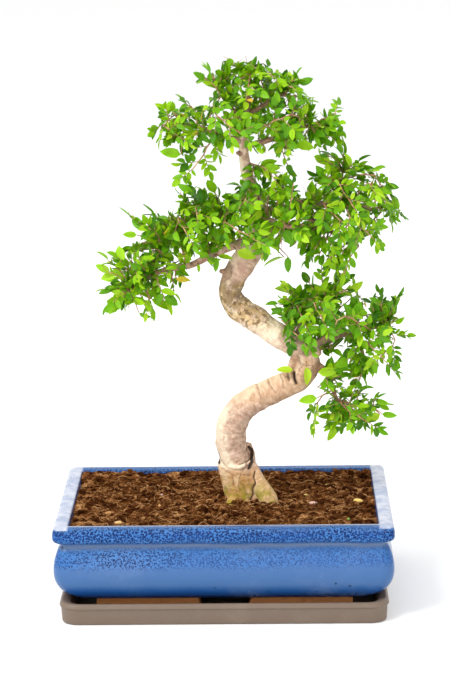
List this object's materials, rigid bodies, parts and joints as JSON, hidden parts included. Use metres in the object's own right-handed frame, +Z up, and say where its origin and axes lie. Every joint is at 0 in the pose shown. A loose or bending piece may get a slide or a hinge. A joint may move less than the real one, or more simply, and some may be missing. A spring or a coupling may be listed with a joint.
{
  "type": "potted bonsai tree",
  "caption": "Chinese elm bonsai with an S-curved trunk and clouds of small leaves, in a blue glazed rectangular pot filled with soil, on a drip tray.",
  "frame": {"origin": "centre of the drip tray's underside", "axes": "+Z up along the tree, +X to the right along the pot's long side as seen from the front, +Y towards the back"},
  "size_m": [0.3358, 0.232, 0.5058],
  "materials": {
    "tray_plastic": "matte taupe plastic",
    "pot_glaze": "glossy mottled blue glaze",
    "drain_plastic": "matte dark plastic",
    "soil": "rough fibrous coir soil",
    "bark": "matte pale bark",
    "leaf": "satin green leaf"
  },
  "bodies": {
    "root": {"drip_tray": "tray_plastic", "pot": "pot_glaze", "drain_mesh_left": "drain_plastic", "drain_mesh_right": "drain_plastic", "soil": "soil", "trunk": "bark", "apex_spray_1": "leaf", "apex_spray_2": "leaf", "apex_spray_3": "leaf", "apex_spray_4": "leaf", "apex_spray_5": "leaf", "apex_spray_6": "leaf", "apex_spray_7": "leaf", "apex_spray_8": "leaf", "apex_spray_9": "leaf", "apex_left_spray_1": "leaf", "apex_left_spray_2": "leaf", "apex_left_spray_3": "leaf", "apex_right_spray_1": "leaf", "apex_hanging_spray_1": "leaf", "middle_spray_1": "leaf", "middle_spray_2": "leaf", "middle_spray_3": "leaf", "middle_spray_4": "leaf", "middle_spray_5": "leaf", "middle_spray_6": "leaf", "middle_spray_7": "leaf", "middle_spray_8": "leaf", "middle_right_spray_1": "leaf", "middle_right_spray_2": "leaf", "middle_right_spray_3": "leaf", "middle_right_spray_4": "leaf", "middle_right_spray_5": "leaf", "middle_right_spray_6": "leaf", "middle_right_spray_7": "leaf", "middle_right_spray_8": "leaf", "left_upper_spray_1": "leaf", "left_upper_spray_2": "leaf", "left_upper_spray_3": "leaf", "left_upper_spray_4": "leaf", "left_middle_spray_1": "leaf", "left_middle_spray_2": "leaf", "left_middle_spray_3": "leaf", "left_middle_spray_4": "leaf", "left_low_spray_1": "leaf", "left_low_spray_2": "leaf", "left_low_spray_3": "leaf", "lower_spray_1": "leaf", "lower_spray_2": "leaf", "lower_spray_3": "leaf", "lower_spray_4": "leaf", "lower_spray_5": "leaf", "lower_spray_6": "leaf", "lower_spray_7": "leaf", "lower_edge_spray_1": "leaf", "lower_edge_spray_2": "leaf", "hanging_spray_1": "leaf", "hanging_spray_2": "leaf", "hanging_spray_3": "leaf"}
  },
  "joints": []
}
